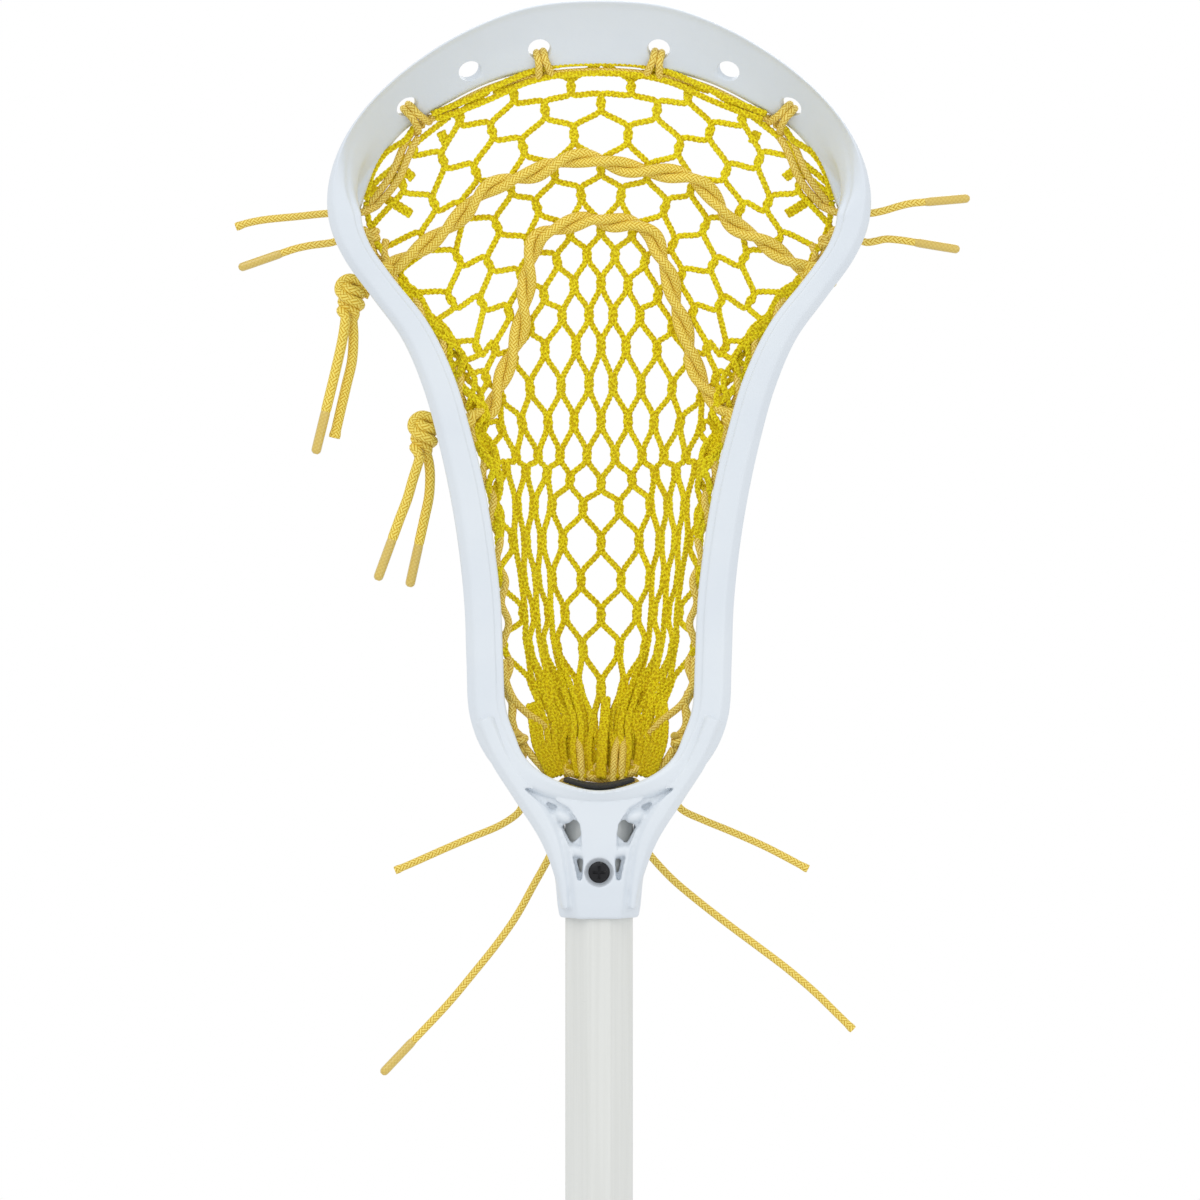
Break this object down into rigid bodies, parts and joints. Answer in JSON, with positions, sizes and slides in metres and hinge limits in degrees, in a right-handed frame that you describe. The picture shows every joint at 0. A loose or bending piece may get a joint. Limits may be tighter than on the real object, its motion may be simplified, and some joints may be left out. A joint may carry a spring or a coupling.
{
  "type": "women's lacrosse stick",
  "caption": "Women's field lacrosse stick: moulded open head with a strung mesh pocket, clamped by a screw on an octagonal alloy shaft with a rubber butt cap.",
  "frame": {"origin": "centre of the butt cap's flat end face", "axes": "+Z along the shaft to the scoop, -Y out of the ball side of the head, +X to the right seen from the ball side"},
  "size_m": [0.2439, 0.063, 1.0795],
  "materials": {
    "moulded_nylon": "satin, cool white",
    "painted_alloy": "satin, warm white",
    "cap_rubber": "matt black",
    "screw_steel": "blackened",
    "pad_foam": "matt closed-cell foam",
    "mesh_cord": "knitted cord, saturated yellow",
    "lace_cord": "braided cord, orange yellow",
    "lace_tip": "clear sleeve over the lace"
  },
  "bodies": {
    "stick": {"head_frame": "moulded_nylon", "shaft": "painted_alloy", "head_screw": "screw_steel", "ball_stop_pad": "pad_foam", "mesh_pocket": "mesh_cord", "top_string": "lace_cord", "sidewall_string_left": "lace_cord", "sidewall_string_right": "lace_cord", "bottom_string": "lace_cord", "shooting_string_upper": "lace_cord", "shooting_string_lower": "lace_cord", "upper_shooter_knot": "lace_cord", "lower_shooter_knot": "lace_cord", "tail_top_left": "lace_cord", "tail_side_left": "lace_cord", "tail_top_right": "lace_cord", "tail_side_right": "lace_cord", "tail_upper_outer": "lace_cord", "tail_upper_inner": "lace_cord", "tail_lower_outer": "lace_cord", "tail_lower_inner": "lace_cord", "tail_foot_left": "lace_cord", "tail_foot_right": "lace_cord", "tail_long_left": "lace_cord", "tail_long_right": "lace_cord", "aglet_side_left": "lace_tip", "aglet_top_right": "lace_tip", "aglet_side_right": "lace_tip", "aglet_upper_outer": "lace_tip", "aglet_lower_outer": "lace_tip", "aglet_lower_inner": "lace_tip", "aglet_long_left": "lace_tip"},
    "butt_cap": {"end_cap": "cap_rubber"}
  },
  "joints": [
    {"name": "cap_pull", "type": "slide", "parent": "stick", "child": "butt_cap", "axis": [0, 0, -1], "range_m": [0, 0.04]}
  ]
}
